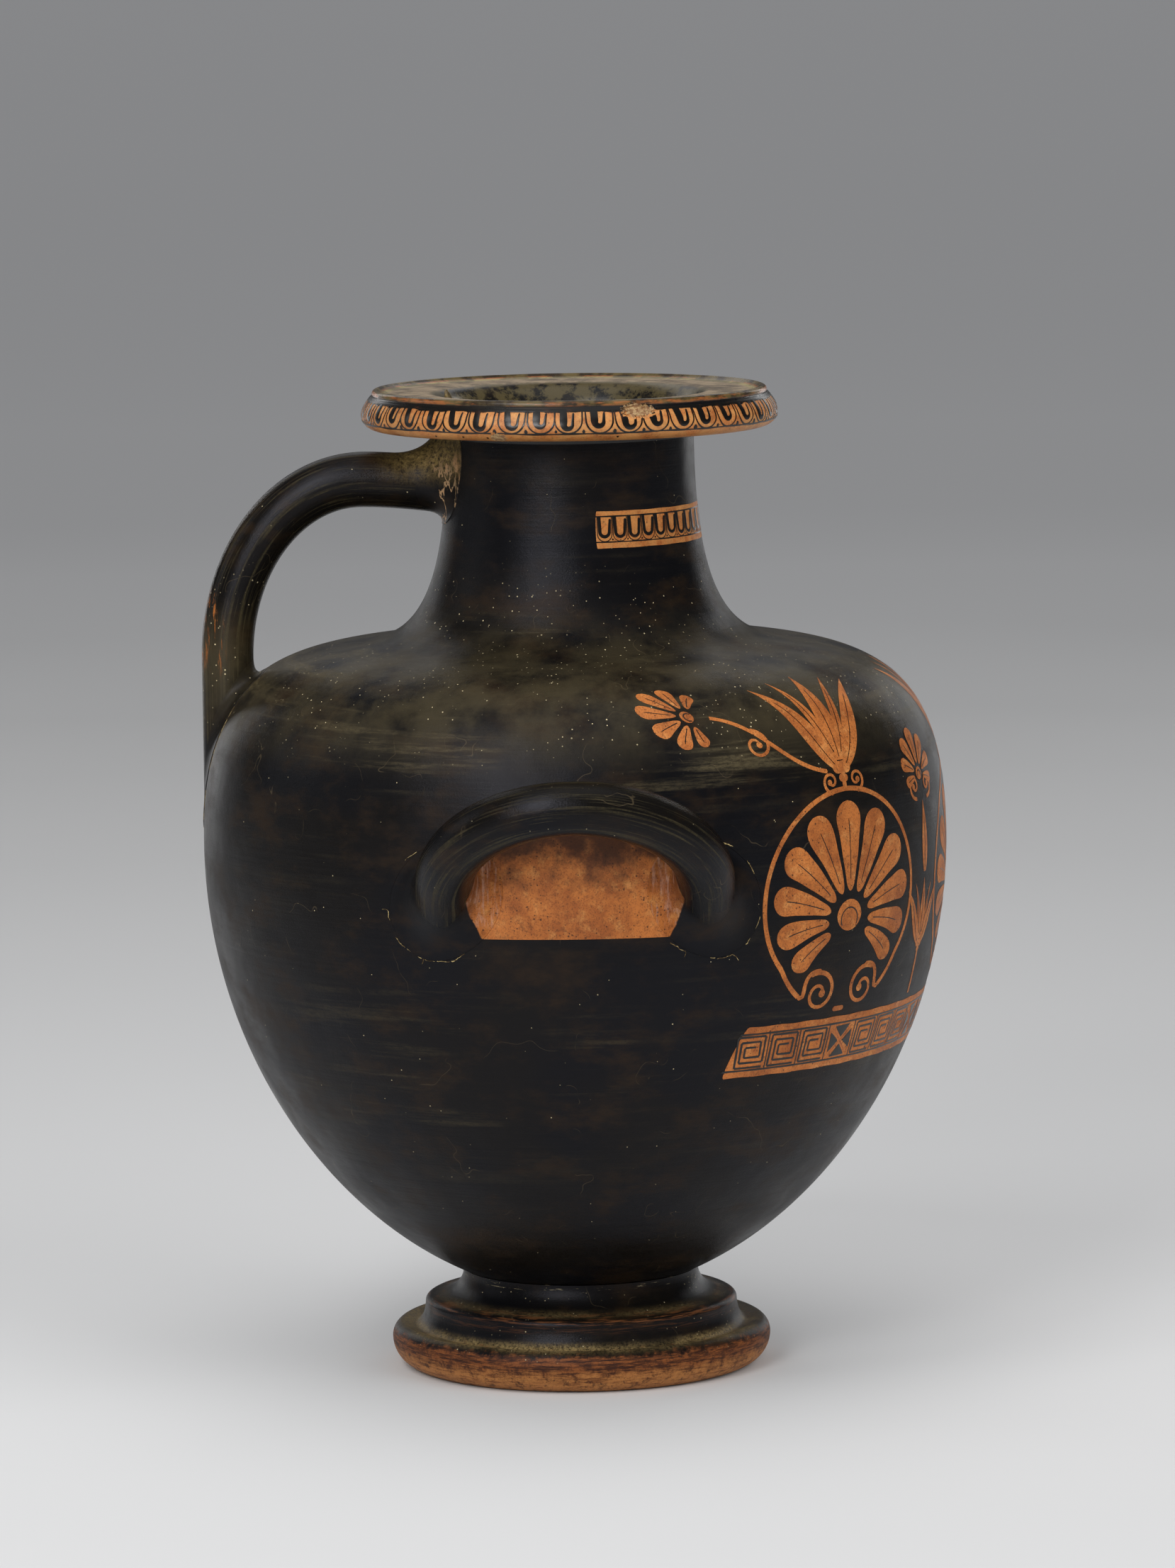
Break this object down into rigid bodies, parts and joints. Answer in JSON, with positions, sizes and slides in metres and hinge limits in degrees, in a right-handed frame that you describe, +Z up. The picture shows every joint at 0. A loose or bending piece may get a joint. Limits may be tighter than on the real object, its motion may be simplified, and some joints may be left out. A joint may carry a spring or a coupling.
{
  "type": "hydria jar",
  "caption": "Round-shouldered water jar on a stepped disc foot, with a wide overhanging lip, a tall back handle and two side handles tilted upward.",
  "frame": {"origin": "on the jar's axis, in the plane of the ring that it stands on", "axes": "+Z up; -Y towards the painted front; +Y towards the tall back handle; -X and +X towards the left and right side handles"},
  "size_m": [0.3858, 0.2951, 0.39],
  "materials": {
    "black_gloss": "gloss",
    "reserved_clay": "satin"
  },
  "bodies": {
    "root": {"foot": "black_gloss", "lower_body": "black_gloss", "upper_body": "black_gloss", "mouth": "reserved_clay", "back_handle": "black_gloss", "back_handle_upper_root": "black_gloss", "back_handle_lower_root": "black_gloss", "left_handle": "black_gloss", "left_handle_front_root": "black_gloss", "left_handle_back_root": "black_gloss", "right_handle": "black_gloss", "right_handle_front_root": "black_gloss", "right_handle_back_root": "black_gloss"}
  },
  "joints": []
}
